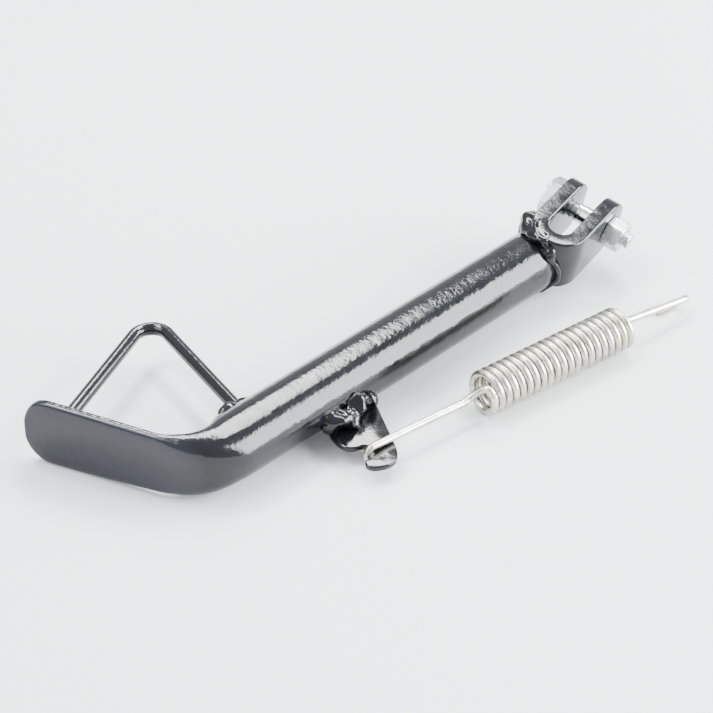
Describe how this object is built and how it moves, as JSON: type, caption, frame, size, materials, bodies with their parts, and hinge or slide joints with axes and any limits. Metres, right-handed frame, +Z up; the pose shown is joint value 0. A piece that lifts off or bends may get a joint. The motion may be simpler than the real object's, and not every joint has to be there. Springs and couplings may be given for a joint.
{
  "type": "motorcycle side stand",
  "caption": "Gloss black tubular side stand with a flattened foot, a V-shaped kick loop, a pivot clevis with its bolt, and a return spring hooked to a notched tab.",
  "frame": {"origin": "centre of the pivot bolt, midway between the clevis ears", "axes": "+X along the leg tube towards the clevis, +Y the side that the foot turns to, +Z up as it lies on a floor"},
  "size_m": [0.2801, 0.1506, 0.0388],
  "materials": {
    "black_paint": "gloss",
    "zinc": "satin",
    "bright_steel": "gloss",
    "spring_wire": "satin"
  },
  "bodies": {
    "leg": {"leg_tube": "black_paint", "clevis_weld": "black_paint", "clevis": "black_paint", "spring_tab": "black_paint", "tab_weld_upper": "black_paint", "tab_weld_lower": "black_paint", "kick_loop": "black_paint", "loop_foot_weld": "black_paint", "loop_leg_weld": "black_paint"},
    "bolt": {"pivot_bolt": "zinc", "pivot_nut": "zinc"},
    "bush": {"pivot_bush": "bright_steel"},
    "spring": {"spring_near_hook": "spring_wire", "spring_coil": "spring_wire"},
    "spring_end": {"spring_far_hook": "spring_wire"}
  },
  "joints": [
    {"name": "pivot_turn", "type": "hinge", "parent": "leg", "child": "bolt", "pos_m": [0, 0, 0], "axis": [0.1857, -0.9539, -0.2359], "continuous": true},
    {"name": "bush_turn", "type": "hinge", "parent": "bolt", "child": "bush", "pos_m": [0, 0, 0], "axis": [0.1857, -0.9539, -0.2359], "continuous": true},
    {"name": "spring_swing", "type": "hinge", "parent": "leg", "child": "spring", "pos_m": [-0.1735, -0.0343, -0.0136], "axis": [0, 0, 1], "range_deg": [-30, 6]},
    {"name": "spring_stretch", "type": "slide", "parent": "spring", "child": "spring_end", "axis": [0.989, -0.1478, 0], "range_m": [0, 0.03], "deforming": ["spring_coil"]}
  ]
}
